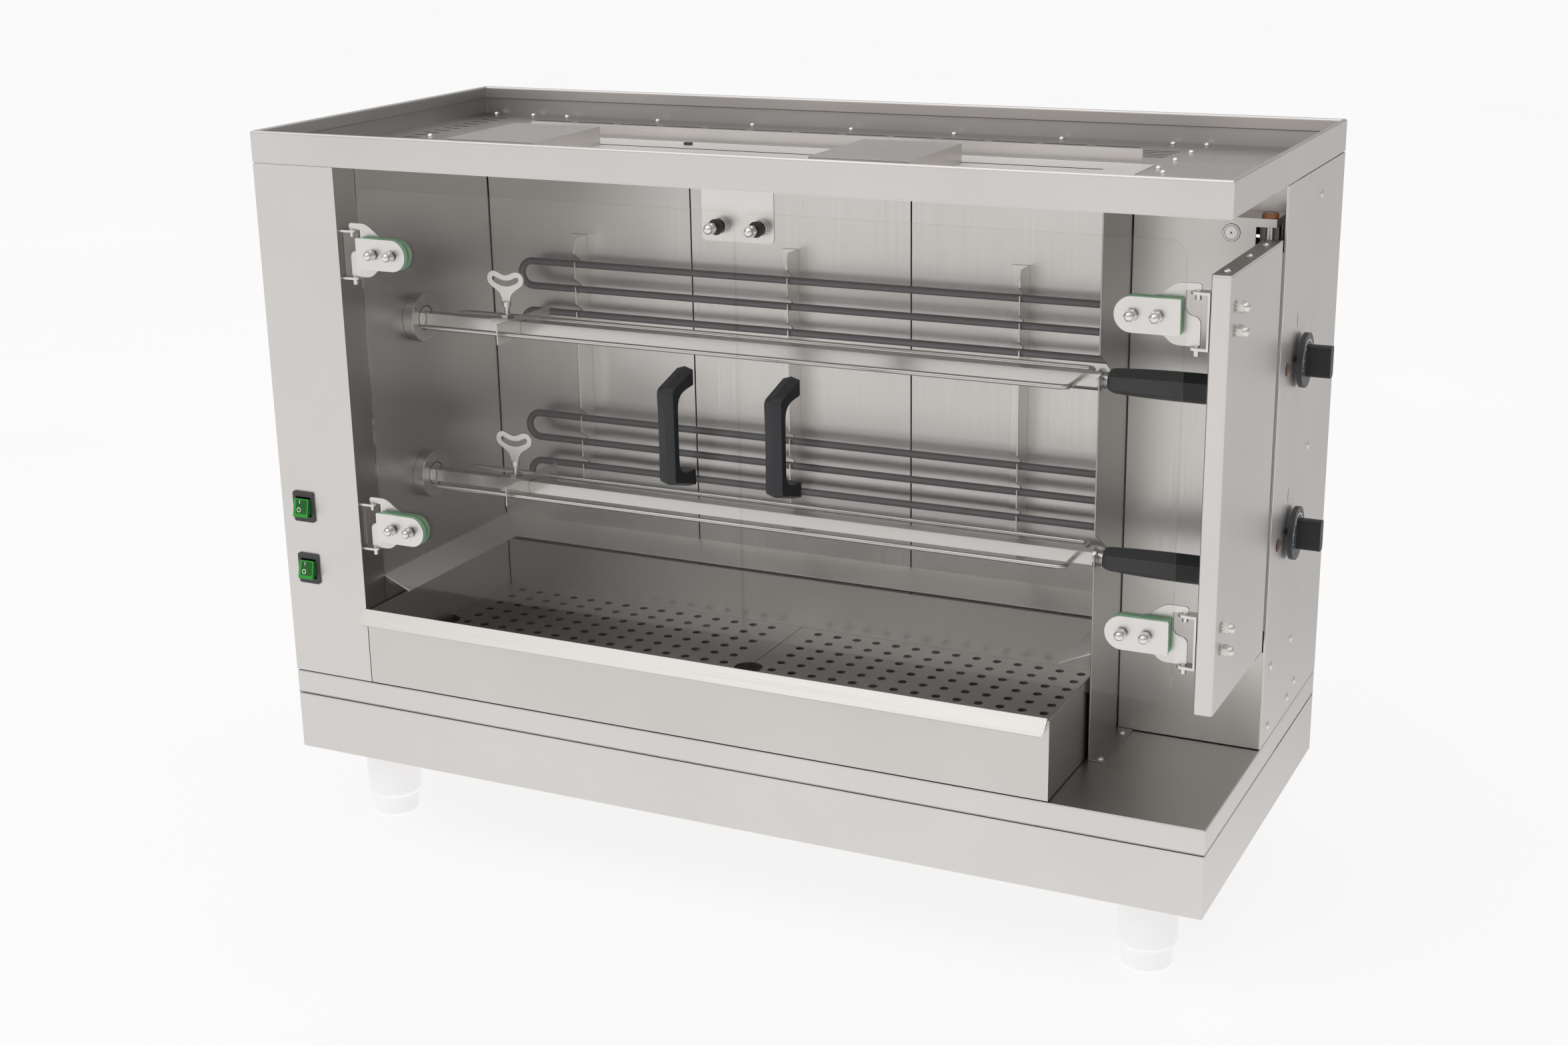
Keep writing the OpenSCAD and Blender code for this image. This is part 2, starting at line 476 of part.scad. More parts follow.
// ---------- drawer ----------
dx0 = xl + 1; dx1 = xc - 3.5; dz0 = plate_z + 1.5; dy1 = cavity_d - 1;
module drip_drawer() color("silver") translate(off) {
  difference() {
    bx(dx0, dx1, 0, dy1, dz0, drawer_z1);
    bx(dx0 + sheet, dx1 - sheet, sheet, dy1 - sheet, dz0 + sheet, drawer_z1 + 1);
  }
  for (x = [dx0 + 20, dx1 - 35]) bx(x, x + 15, 6, dy1 - 6, plate_z + 0.3, dz0);
  difference() {
    intersection() {
      slab_x(xl - 2.5, dx1 - 2) polygon([[1.5, 177], [1.5, 180], [-0.5, 180.4], [-13, 165.9], [-11.9, 164.8], [0, 178], [0, 177]]);
      slab_y(-20, 10) rr(xl - 2.5, dx1 - 2, 164, 195, 7);
    }
    bx(xl - 5, dx0 - 0.2, -0.35, 5, 160, 190);
  }
}
notch_y = 147; joint_x = (dx0 + dx1)/2;
module grate(x0, x1, h0) color("silver") translate(off) {
  y0 = sheet + 0.3; y1 = dy1 - sheet - 0.3;
  translate([0, 0, grate_z - 2]) linear_extrude(2) difference() {
    translate([x0, y0]) square([x1 - x0, y1 - y0]);
    for (i = [0:14], j = [0:10]) translate([h0 + 24*i, 270.2 - hole_p*j]) circle(hole_d/2, $fn = 24);
    for (x = [x0, x1]) translate([x, notch_y]) circle(15.5);
  }
  bx(x0, x1, y0, y0 + sheet, grate_z - 10, grate_z - 1);
  bx(x0, x1, y1 - sheet, y1, grate_z - 10, grate_z - 1);
  for (x = [x0 + 3, x1 - 13], y = [y0, y1 - sheet]) bx(x, x + 10, y, y + sheet, dz0 + sheet + 0.3, grate_z - 9);
}
module grate_left() grate(dx0 + sheet + 0.3, joint_x - 0.4, -393.1);
module grate_right() grate(joint_x + 0.4, dx1 - sheet - 0.3, 1.5);

// ---------- controls ----------
module energy_regulators() color("dimgray") translate(off) for (z = [knob_z1, knob_z2]) difference() {
  union() { bx(488, hw - sheet - 0.01, 264, 304, z - 22, z + 22); cx(hw - sheet - 0.02, hw, 284, z, 4.8); }
  cx(500, hw + 2, 284, z, 3.08);
}
module knob(z) color("black") translate(off) translate([0, 284, z]) {
  cx(529, 534, 0, 0, dial_d/2);
  cx(502, 529.1, 0, 0, 3);
  translate([533.9, 0, 0]) rotate([0, 90, 0]) linear_extrude(grip_end_x - 533.9) rr(-16, 16, -6.5, 6.5, 4);
}
module knob_upper() knob(knob_z1);
module knob_lower() knob(knob_z2);
module indicator_lamps() color("red") translate(off) for (z = [knob_z1, knob_z2]) translate([0, 235.8, z]) {
  cx(500, hw, 0, 0, 5.2); cx(hw - 0.01, hw + 1.6, 0, 0, 6.6); cx(hw + 1.5, hw + 3.4, 0, 0, 5.4);
}
module switch_body(z) translate([-494.6, 0, z]) difference() {
  union() { slab_y(-2, 0) rr(-13.8, 13.8, -17.3, 17.3, 3); bx(-12.3, 12.3, 0, 30, -15.3, 15.3); }
  bx(-10, 10, -3, 22, -11.3, 11.3);
  bx(-10, 10, 0, 22, -12.6, 12.6);
  cx(-11.4, 11.4, 7.5, 0, 1.6);
}
module switch_bodies() color("dimgray") translate(off) { switch_body(290.2); switch_body(218.6); }
module rocker(z) color("green") translate(off) translate([-494.6, 7.5, z]) {
  slab_x(-9.7, 9.7) polygon([[-12.6, 10], [-14, 3.4], [-15.4, -2.6], [-17.2, -10], [-11, -7.6], [4, -6], [4, 6], [-10.5, 9.2]]);
  cx(-11, 11, 0, 0, 1.5);
}
module rocker_upper() rocker(290.2);
module rocker_lower() rocker(218.6);

base_plinth();
work_tray();
foot_sleeves();
column_front();
left_side_cover();
cavity_left_liner();
rear_reflectors();
insulation_slab();
rear_cover();
cable_gland();
side_covers();
housing_inner_wall();
bay_wall();
spit_partition();
top_deck();
gallery_rim();
vent_covers();
door_stop_plate();
drip_deflectors();
heating_elements();
element_brackets();
bearing_flanges();
gearmotors();
energy_regulators();
indicator_lamps();
switch_bodies();
left_hinge_leaves();
gate_bushes();
case_screws();
gate_post();
gate_hinge_leaves();
glass_left();
handle_left();
moving_leaves_left();
clamp_sets_left();
glass_right();
handle_right();
moving_leaves_right();
clamp_sets_right();
drip_drawer();
grate_left();
grate_right();
spit_upper();
spit_handle_upper();
drive_socket_upper();
holder_upper();
wing_key_upper();
spit_lower();
spit_handle_lower();
drive_socket_lower();
holder_lower();
wing_key_lower();
knob_upper();
knob_lower();
rocker_upper();
rocker_lower();
foot_front_left();
foot_front_right();
foot_rear_left();
foot_rear_right();
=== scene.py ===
import math

import bmesh
import bpy
from mathutils import Matrix, Vector


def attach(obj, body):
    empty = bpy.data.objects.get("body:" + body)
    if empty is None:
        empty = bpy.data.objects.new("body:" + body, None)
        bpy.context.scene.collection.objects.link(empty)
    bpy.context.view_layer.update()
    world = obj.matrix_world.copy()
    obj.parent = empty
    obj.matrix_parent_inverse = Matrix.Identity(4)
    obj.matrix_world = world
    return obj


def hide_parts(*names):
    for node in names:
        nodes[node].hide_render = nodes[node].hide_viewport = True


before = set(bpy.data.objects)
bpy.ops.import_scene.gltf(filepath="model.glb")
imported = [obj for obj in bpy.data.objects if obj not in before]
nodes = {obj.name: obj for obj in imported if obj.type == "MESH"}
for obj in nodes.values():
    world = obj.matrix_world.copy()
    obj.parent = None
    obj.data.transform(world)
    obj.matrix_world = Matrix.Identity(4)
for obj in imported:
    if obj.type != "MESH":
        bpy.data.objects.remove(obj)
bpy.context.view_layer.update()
scene = bpy.context.scene

# Lengths below are millimetres in the cabinet's own frame: x from its mid-width, y from its front
# face, z from the underside of the base box. OFF carries them into the row frame.
OFF = Vector((-16.5, -212.75, 93.0))
MM = 0.001


def P(x, y, z):
    return (Vector((x, y, z)) + OFF) * MM


# ---------------------------------------------------------------- node helpers
class Mat:
    def __init__(self, name):
        self.m = bpy.data.materials.new(name)
        self.m.use_nodes = True
        self.t = self.m.node_tree
        self.b = self.t.nodes["Principled BSDF"]
        self.out = self.t.nodes["Material Output"]

    def node(self, kind, **k):
        n = self.t.nodes.new(kind)
        for key, v in k.items():
            setattr(n, key, v)
        return n

    def link(self, a, b):
        self.t.links.new(a, b)

    def coords(self, scale=(1, 1, 1), rot=(0, 0, 0)):
        c = self.node("ShaderNodeTexCoord")
        m = self.node("ShaderNodeMapping")
        m.inputs["Scale"].default_value = scale
        m.inputs["Rotation"].default_value = rot
        self.link(c.outputs["Object"], m.inputs["Vector"])
        return m.outputs["Vector"]

    def noise(self, vec, scale, detail=3.0, rough=0.55, dist=0.0):
        n = self.node("ShaderNodeTexNoise")
        n.inputs["Scale"].default_value = scale
        n.inputs["Detail"].default_value = detail
        n.inputs["Roughness"].default_value = rough
        n.inputs["Distortion"].default_value = dist
        self.link(vec, n.inputs["Vector"])
        return n.outputs["Fac"]

    def ramp(self, fac, stops):
        r = self.node("ShaderNodeValToRGB")
        e = r.color_ramp.elements
        while len(e) < len(stops):
            e.new(0.5)
        for el, (pos, col) in zip(e, stops):
            el.position = pos
            el.color = (*col, 1.0) if len(col) == 3 else col
        self.link(fac, r.inputs["Fac"])
        return r.outputs["Color"]

    def remap(self, fac, lo, hi, a=0.3, b=0.7):
        r = self.node("ShaderNodeMapRange")
        r.inputs["From Min"].default_value = a
        r.inputs["From Max"].default_value = b
        r.inputs["To Min"].default_value = lo
        r.inputs["To Max"].default_value = hi
        self.link(fac, r.inputs["Value"])
        return r.outputs["Result"]

    def bump(self, height, strength, distance=0.0002):
        b = self.node("ShaderNodeBump")
        b.inputs["Strength"].default_value = strength
        b.inputs["Distance"].default_value = distance
        self.link(height, b.inputs["Height"])
        self.link(b.outputs["Normal"], self.b.inputs["Normal"])


def steel(name, base, rough, grain="x", spread=0.035, rvar=0.045, bump=0.05, metallic=1.0):
    """Satin stainless: fine brushed grain along one axis over soft large patches."""
    m = Mat(name)
    fine = {"x": (6, 900, 900), "y": (900, 6, 900), "z": (900, 900, 6), "n": (500, 500, 500)}[grain]
    g = m.noise(m.coords(fine), 1.0, 2.0, 0.6)
    patch = m.noise(m.coords((1, 1, 1)), 5.5, 3.0, 0.5)
    lo = tuple(c * (1 - spread) for c in base)
    hi = tuple(min(1, c * (1 + spread)) for c in base)
    col = m.ramp(patch, [(0.3, lo), (0.7, hi)])
    streak = m.ramp(g, [(0.25, (0.965, 0.965, 0.965)), (0.75, (1, 1, 1))])
    mix = m.node("ShaderNodeMix", data_type="RGBA", blend_type="MULTIPLY")
    mix.inputs["Factor"].default_value = 1.0
    m.link(col, mix.inputs["A"])
    m.link(streak, mix.inputs["B"])
    m.link(mix.outputs["Result"], m.b.inputs["Base Color"])
    m.b.inputs["Metallic"].default_value = metallic
    add = m.node("ShaderNodeMath", operation="ADD")
    m.link(m.remap(g, -rvar, rvar), add.inputs[0])
    m.link(m.remap(patch, rough - rvar * 0.5, rough + rvar * 0.5), add.inputs[1])
    m.link(add.outputs["Value"], m.b.inputs["Roughness"])
    if bump:
        m.bump(g, bump)
    return m.m


def painted_shade_along(mat, axis, span, stops):
    """Multiplies a steel's colour by a painted shade that changes along one object axis, cabinet millimetres."""
    t = mat.node_tree
    b = t.nodes["Principled BSDF"]
    old = b.inputs["Base Color"].links[0].from_socket
    c = t.nodes.new("ShaderNodeTexCoord")
    x = t.nodes.new("ShaderNodeSeparateXYZ")
    t.links.new(c.outputs["Object"], x.inputs["Vector"])
    m = t.nodes.new("ShaderNodeMapRange")
    off = {"X": OFF.x, "Y": OFF.y, "Z": OFF.z}[axis]
    m.inputs["From Min"].default_value = (span[0] + off) * MM
    m.inputs["From Max"].default_value = (span[1] + off) * MM
    t.links.new(x.outputs[axis], m.inputs["Value"])
    r = t.nodes.new("ShaderNodeValToRGB")
    e = r.color_ramp.elements
    while len(e) < len(stops):
        e.new(0.5)
    for el, (pos, v) in zip(e, stops):
        el.position = (pos - span[0]) / (span[1] - span[0])
        el.color = (v, v, v, 1)
    t.links.new(m.outputs["Result"], r.inputs["Fac"])
    mix = t.nodes.new("ShaderNodeMix")
    mix.data_type, mix.blend_type = "RGBA", "MULTIPLY"
    mix.inputs["Factor"].default_value = 1.0
    t.links.new(old, mix.inputs["A"])
    t.links.new(r.outputs["Color"], mix.inputs["B"])
    t.links.new(mix.outputs["Result"], b.inputs["Base Color"])


def plastic(name, base, rough, scale=900.0, bump=0.25, spread=0.08, spec=0.5, coat=0.0):
    """Moulded plastic: fine spark-eroded texture and slight colour drift."""
    m = Mat(name)
    fine = m.noise(m.coords(), scale, 2.0, 0.6)
    drift = m.noise(m.coords(), 28.0, 2.0, 0.5)
    col = m.ramp(drift, [(0.3, tuple(c * (1 - spread) for c in base)), (0.7, tuple(min(1, c * (1 + spread)) for c in base))])
    m.link(col, m.b.inputs["Base Color"])
    m.link(m.remap(fine, rough - 0.05, rough + 0.06), m.b.inputs["Roughness"])
    m.b.inputs["Specular IOR Level"].default_value = spec
    if coat:
        m.b.inputs["Coat Weight"].default_value = coat
        m.b.inputs["Coat Roughness"].default_value = 0.08
    m.bump(fine, bump, 0.00008)
    return m.m


def glass_material(name, ior, gain, top, tint):
    m = Mat(name)
    clear = m.node("ShaderNodeBsdfTransparent")
    gloss = m.node("ShaderNodeBsdfGlossy")
    haze = m.noise(m.coords((1, 1, 1)), 9.0, 2.0, 0.5)
    m.link(m.ramp(haze, [(0.3, tuple(c - 0.004 for c in tint)), (0.7, tuple(c + 0.004 for c in tint))]), clear.inputs["Color"])
    m.link(m.remap(haze, 0.02, 0.05), gloss.inputs["Roughness"])
    gloss.inputs["Color"].default_value = (0.96, 0.955, 0.95, 1)
    fres = m.node("ShaderNodeFresnel")
    fres.inputs["IOR"].default_value = ior
    part = m.node("ShaderNodeMath", operation="MULTIPLY")
    m.link(fres.outputs["Fac"], part.inputs[0])
    part.inputs[1].default_value = gain
    cap = m.node("ShaderNodeMath", operation="MINIMUM")
    m.link(part.outputs["Value"], cap.inputs[0])
    cap.inputs[1].default_value = top
    mix = m.node("ShaderNodeMixShader")
    m.link(cap.outputs["Value"], mix.inputs["Fac"])
    m.link(clear.outputs["BSDF"], mix.inputs[1])
    m.link(gloss.outputs["BSDF"], mix.inputs[2])
    m.link(mix.outputs["Shader"], m.out.inputs["Surface"])
    m.t.nodes.remove(m.b)
    return m.m


FRONT = (0.715, 0.684, 0.661)
M = {
    "body": steel("satin_steel_body", FRONT, 0.40, "x"),
    "body_z": steel("satin_steel_upright", FRONT, 0.40, "z"),
    "inner": steel("satin_steel_inner", (0.75, 0.725, 0.70), 0.36, "z", spread=0.05),
    "liner": steel("satin_steel_liner", (0.47, 0.455, 0.44), 0.36, "z", spread=0.05),
    "bay": steel("satin_steel_bay", (0.70, 0.675, 0.65), 0.36, "z", spread=0.04),
    "deck": steel("satin_steel_deck", (0.74, 0.712, 0.69), 0.30, "x", spread=0.05),
    "deck_front": steel("satin_steel_deck_front_painted_light", (0.84, 0.81, 0.785), 0.45, "x", spread=0.03, metallic=0.6),
    "rim_left": steel("satin_steel_rim_left_painted_shade", (0.43, 0.412, 0.398), 0.40, "y"),
    "flange": steel("satin_steel_flange", (0.56, 0.54, 0.52), 0.30, "x", spread=0.03),
    "return": steel("satin_steel_returns", (0.62, 0.60, 0.58), 0.5, "z", metallic=0.4),
    "tray_top": steel("satin_steel_tray_top_painted_shade", (0.50, 0.48, 0.46), 0.40, "x"),
    "part": steel("satin_steel_partition_and_painted_shade", (0.43, 0.415, 0.40), 0.36, "z", spread=0.05),
    "drawer_side": steel("satin_steel_drawer_side_painted_shade", (0.38, 0.365, 0.35), 0.40, "z"),
    "drawer_in": steel("satin_steel_drawer_inside_painted_light", (0.80, 0.775, 0.75), 0.40, "x"),
    "vent": steel("satin_steel_vents", (0.70, 0.675, 0.65), 0.32, "x", spread=0.04),
    "cap": steel("satin_steel_cap_painted_shade", (0.34, 0.33, 0.32), 0.34, "y", spread=0.05),
    "edge": steel("sheet_edge_painted_highlight", (0.86, 0.84, 0.82), 0.34, "z", spread=0.02, rvar=0.02, bump=0.0),
    "drawer": steel("satin_steel_drawer", (0.66, 0.635, 0.61), 0.40, "x"),
    # painted light: the deflector steel is far brighter than the body, standing in for light it would reflect
    "deflector": steel("satin_steel_deflector_painted_light", (0.95, 0.93, 0.905), 0.48, "x"),
    "grate": steel("satin_steel_grate", (0.56, 0.54, 0.52), 0.40, "x", spread=0.06),
    "small": steel("satin_steel_fittings", (0.76, 0.735, 0.71), 0.34, "z", spread=0.02, rvar=0.02, bump=0.0),
    "polished": steel("polished_steel", (0.62, 0.60, 0.58), 0.24, "x", spread=0.02, rvar=0.015, bump=0.0),
    "nut": steel("bright_steel_nuts", (0.80, 0.78, 0.76), 0.30, "z", spread=0.02, rvar=0.02, bump=0.0),
    "stud": steel("dark_steel_thread", (0.20, 0.195, 0.19), 0.40, "z", spread=0.05, rvar=0.03, bump=0.0),
    "element": steel("element_tube", (0.175, 0.165, 0.172), 0.44, "n", spread=0.03, rvar=0.02, bump=0.0, metallic=0.35),
    "black": plastic("black_plastic", (0.023, 0.0245, 0.027), 0.42, spec=0.38),
    "knob": plastic("dial_plastic", (0.036, 0.038, 0.042), 0.40, spec=0.45),
    "dial": plastic("dial_face_plastic", (0.08, 0.083, 0.088), 0.42, spec=0.5),
    "bezel": plastic("dark_grey_plastic", (0.050, 0.048, 0.052), 0.50),
    "green": plastic("green_lens_plastic", (0.014, 0.33, 0.020), 0.25, scale=1500, bump=0.1, coat=0.3),
    "green_side": plastic("green_lens_painted_shade_side", (0.010, 0.12, 0.015), 0.35, scale=1500, bump=0.1),
    "green_deep": plastic("green_lens_face", (0.013, 0.115, 0.016), 0.38, scale=1500, bump=0.15, spec=0.35),
    "pad": plastic("green_pad_rubber", (0.27, 0.50, 0.31), 0.55, bump=0.2),
    "washer": plastic("black_washer_rubber", (0.02, 0.02, 0.021), 0.55, bump=0.2),
    "mark": plastic("white_print", (0.86, 0.87, 0.86), 0.5, bump=0.05, spread=0.02),
    "ink": plastic("grey_print_and_painted_shade", (0.16, 0.155, 0.15), 0.5, bump=0.05, spread=0.04),
    "white": plastic("white_plastic", (0.95, 0.945, 0.945), 0.35, bump=0.08, spread=0.01),
    "bush": plastic("brown_bush", (0.33, 0.125, 0.035), 0.38, bump=0.2, spread=0.15),
    "black_side": plastic("black_plastic_painted_shade_side", (0.0085, 0.009, 0.0105), 0.50, spec=0.22),
    "grip": plastic("dial_grip_plastic", (0.018, 0.019, 0.021), 0.40, spec=0.4),
    "lens": plastic("amber_lens", (0.11, 0.055, 0.038), 0.25, bump=0.05, spread=0.1, coat=0.4),
    "gland": plastic("gland_plastic", (0.035, 0.035, 0.036), 0.5),
    "motor": steel("motor_paint", (0.30, 0.31, 0.32), 0.45, "n", metallic=0.4),
    "dark": plastic("dark_moulding", (0.045, 0.045, 0.047), 0.5),
    "gap": plastic("slot_shade", (0.02, 0.019, 0.018), 0.8, spec=0.1),
    "wool": plastic("mineral_wool", (0.55, 0.50, 0.32), 0.9, scale=160, bump=0.9, spread=0.3, spec=0.2),
    "glass": glass_material("door_glass", 1.32, 0.55, 0.10, (0.985, 0.984, 0.982)),
    "glass_edge": glass_material("door_glass_edge", 1.45, 1.0, 0.12, (0.955, 0.96, 0.955)),
}


# painted shade: the deck's colour darkens towards the back, standing in for the darker reflection there
painted_shade_along(M["deck"], "Y", (300, 450), [(300, 1.0), (365, 0.92), (392, 0.66), (408, 0.48), (422, 0.36), (450, 0.36)])
# painted light: the white plastic of the feet and sleeves glows a little to make them brighter
M["white"].node_tree.nodes["Principled BSDF"].inputs["Emission Color"].default_value = (1, 1, 1, 1)
M["white"].node_tree.nodes["Principled BSDF"].inputs["Emission Strength"].default_value = 0.13


def shade(o, keep_sharp=False):
    """Flat faces stay flat and bends shade round: normals follow the larger faces."""
    for p in o.data.polygons:
        p.use_smooth = True
    n = o.modifiers.new("normals", "WEIGHTED_NORMAL")
    n.mode = "FACE_AREA"
    n.weight = 100
    n.keep_sharp = keep_sharp


def dress(name, key, bevel=0.0, segments=2, angle=35, clamp=True):
    """Gives a carried-over node its material, and its sheet edges their small bends."""
    o = nodes[name]
    o.data.materials.clear()
    o.data.materials.append(M[key])
    if bevel:
        w = o.modifiers.new("weld", "WELD")
        w.merge_threshold = 1e-6
        b = o.modifiers.new("edge", "BEVEL")
        b.width = bevel * MM
        b.segments = segments
        b.limit_method = "ANGLE"
        b.angle_limit = math.radians(angle)
        b.use_clamp_overlap = clamp
        shade(o)
    return o


LOOKS = {
    "base_plinth": ("body", 1.3), "work_tray": ("body", 1.6), "foot_sleeves": ("white", 0), "column_front": ("body_z", 0.6),
    "left_side_cover": ("body_z", 0.4), "cavity_left_liner": ("liner", 0), "rear_reflectors": ("inner", 0.4),
    "insulation_slab": ("wool", 0), "rear_cover": ("body_z", 0.4), "cable_gland": ("gland", 0.5), "side_covers": ("body_z", 0.4),
    "housing_inner_wall": ("inner", 0), "bay_wall": ("bay", 0.4), "spit_partition": ("part", 0.3), "top_deck": ("deck", 0),
    "gallery_rim": ("body", 1.0), "vent_covers": ("vent", 0.8), "door_stop_plate": ("small", 0.3), "drip_deflectors": ("deflector", 0.15),
    "heating_elements": ("element", 0), "element_brackets": ("small", 0.35), "bearing_flanges": ("flange", 0.7),
    "gearmotors": ("motor", 0.8), "energy_regulators": ("dark", 0.6), "indicator_lamps": ("lens", 0.4), "switch_bodies": ("bezel", 0.7),
    "left_hinge_leaves": ("small", 0.3), "gate_bushes": ("bush", 0.5), "case_screws": ("nut", 0), "gate_post": ("body_z", 0.7),
    "gate_hinge_leaves": ("small", 0.3), "glass_left": ("glass", 0), "handle_left": ("black", 1.4), "moving_leaves_left": ("small", 0.3),
    "clamp_sets_left": ("small", 0.2), "glass_right": ("glass", 0), "handle_right": ("black", 1.4), "moving_leaves_right": ("small", 0.3),
    "clamp_sets_right": ("small", 0.2), "drip_drawer": ("drawer", 0.5), "grate_left": ("grate", 0), "grate_right": ("grate", 0),
    "spit_upper": ("polished", 0.8), "spit_handle_upper": ("black", 1.0), "drive_socket_upper": ("small", 0.5), "holder_upper": ("polished", 0.2),
    "wing_key_upper": ("small", 0.5), "spit_lower": ("polished", 0.8), "spit_handle_lower": ("black", 1.0), "drive_socket_lower": ("small", 0.5),
    "holder_lower": ("polished", 0.2), "wing_key_lower": ("small", 0.5), "knob_upper": ("knob", 0.7), "knob_lower": ("knob", 0.7),
    "rocker_upper": ("green", 0.6), "rocker_lower": ("green", 0.6), "foot_front_left": ("white", 0), "foot_front_right": ("white", 0),
    "foot_rear_left": ("white", 0), "foot_rear_right": ("white", 0),
}
ROUNDED = ("base_plinth", "work_tray")
for n, (key, bev) in LOOKS.items():
    dress(n, key, bev, 3 if n in ROUNDED else 2, 35, n not in ROUNDED)



def facing(name, key, test):
    """Gives the faces of a carried-over node that pass the test a material of their own; most uses below paint light or
    shade onto faces by the way they face.
    """
    o = nodes[name]
    o.data.materials.append(M[key])
    for f in o.data.polygons:
        if test(f.normal, (o.matrix_world @ f.center) / MM - OFF):
            f.material_index = len(o.data.materials) - 1


for n in ("glass_left", "glass_right"):
    facing(n, "glass_edge", lambda n, c: abs(n.y) < 0.5)
# painted shade: the column's +x faces and the hinge leaves' front faces take the darker partition steel
facing("column_front", "part", lambda n, c: n.x > 0.9 and c.x > -430)
facing("left_hinge_leaves", "part", lambda n, c: n.y < -0.9 and c.x < -419.5)
# painted shade: the tray's top faces get a darker copy of the body steel
facing("work_tray", "tray_top", lambda n, c: n.z > 0.9 and c.z > 92)
# painted light: the raised strip's top and front faces get a brighter copy of the deck steel
facing("top_deck", "deck_front", lambda n, c: c.z > 668.4 and (n.z > 0.9 or n.y < -0.9))
# painted shade: the drawer's +x side faces get a darker copy of the drawer steel
facing("drip_drawer", "drawer_side", lambda n, c: n.x > 0.9 and c.x > 360)
# painted light: the drawer's front-facing rear faces get a brighter copy of the drawer steel
facing("drip_drawer", "drawer_in", lambda n, c: n.y < -0.9 and c.y > 200)
# painted shade: the rockers' +x side faces get a darker copy of the green
for n in ("rocker_upper", "rocker_lower"):
    facing(n, "green_side", lambda n, c: n.x > 0.9)
for n in ("knob_upper", "knob_lower"):
    facing(n, "grip", lambda n, c: c.x > 534.2)

# ---------------------------------------------------------------- detailed pieces
class Piece:
    """Mesh code in cabinet millimetres; done() makes one object that rides on a body."""

    def __init__(self, name, body, key, slot):
        self.bm, self.name, self.body, self.key, self.slot = bmesh.new(), name, body, key, slot

    def skin(self, rings, cap0=True, cap1=True, loop=False):
        rows = [[self.bm.verts.new(P(*p)) for p in ring] for ring in rings]
        n = len(rows[0])
        pairs = list(zip(rows, rows[1:])) + ([(rows[-1], rows[0])] if loop else [])
        for a, b in pairs:
            for i in range(n):
                j = (i + 1) % n
                self.bm.faces.new((a[i], a[j], b[j], b[i]))
        if not loop and cap0:
            self.bm.faces.new(list(reversed(rows[0])))
        if not loop and cap1:
            self.bm.faces.new(rows[-1])

    def lathe(self, origin, axis, profile, n=40, shape=None):
        """profile: (distance along the axis, radius); shape(angle) scales the radius of a ring marked with True."""
        a = Vector(axis)
        e1 = Vector((0, 0, 1)) if abs(a.z) < 0.5 else Vector((1, 0, 0))
        e2 = a.cross(e1)
        o = Vector(origin)
        rings = []
        for row in profile:
            t, r = row[0], max(row[1], 0.02)
            ring = []
            for i in range(n):
                w = 2 * math.pi * i / n
                k = shape(w) if (shape and len(row) > 2) else 1.0
                ring.append(tuple(o + a * t + (e1 * math.cos(w) + e2 * math.sin(w)) * (r * k)))
            rings.append(ring)
        self.skin(rings)

    def prism(self, outline, place, t0, t1, holes=()):
        """A flat outline with holes, made thick from t0 to t1; place(u, v, t) gives the point."""
        edges = []
        for loop in [outline, *holes]:
            vs = [self.bm.verts.new(P(*place(u, v, t0))) for u, v in loop]
            edges += [self.bm.edges.new((vs[i], vs[(i + 1) % len(vs)])) for i in range(len(vs))]
        got = bmesh.ops.triangle_fill(self.bm, use_beauty=True, use_dissolve=True, edges=edges)
        faces = [g for g in got["geom"] if isinstance(g, bmesh.types.BMFace)]
        ext = bmesh.ops.extrude_face_region(self.bm, geom=faces)
        move = Vector(P(*place(0, 0, t1))) - Vector(P(*place(0, 0, t0)))
        bmesh.ops.translate(self.bm, verts=[g for g in ext["geom"] if isinstance(g, bmesh.types.BMVert)], vec=move)

    def done(self, bevel=0.0, segments=2, angle=35, stands_for=(), crease=None):
        bmesh.ops.recalc_face_normals(self.bm, faces=self.bm.faces)
        if crease:
            for e in self.bm.edges:
                if len(e.link_faces) == 2 and e.calc_face_angle(0.0) > math.radians(crease):
                    e.smooth = False
        mesh = bpy.data.meshes.new(self.name)
        self.bm.to_mesh(mesh)
        self.bm.free()
        o = bpy.data.objects.new(self.name, mesh)
        scene.collection.objects.link(o)
        mesh.materials.append(M[self.key])
        if bevel:
            b = o.modifiers.new("edge", "BEVEL")
            b.width, b.segments = bevel * MM, segments
            b.limit_method, b.angle_limit = "ANGLE", math.radians(angle)
        shade(o, bool(crease))
        if stands_for:
            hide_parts(*stands_for)
        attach(o, self.body)
        return o


def arc(cx, cy, r, a0, a1, n):
    return [(cx + r * math.cos(math.radians(a0 + (a1 - a0) * i / n)), cy + r * math.sin(math.radians(a0 + (a1 - a0) * i / n))) for i in range(n + 1)]


def circle(cx, cy, r, n=28):
    return arc(cx, cy, r, 0, 360 * (n - 1) / n, n - 1)


def paddle(u0, uc, r, corner):
    return (arc(uc, 0, r, -90, 90, 28) + arc(u0 + corner, r - corner, corner, 90, 180, 5) + arc(u0 + corner, -r + corner, corner, 180, 270, 5))


def hexed(w):
    d = (math.degrees(w) + 30) % 60 - 30
    return math.cos(math.radians(30)) / math.cos(math.radians(d)) / math.cos(math.radians(30)) * 0.866


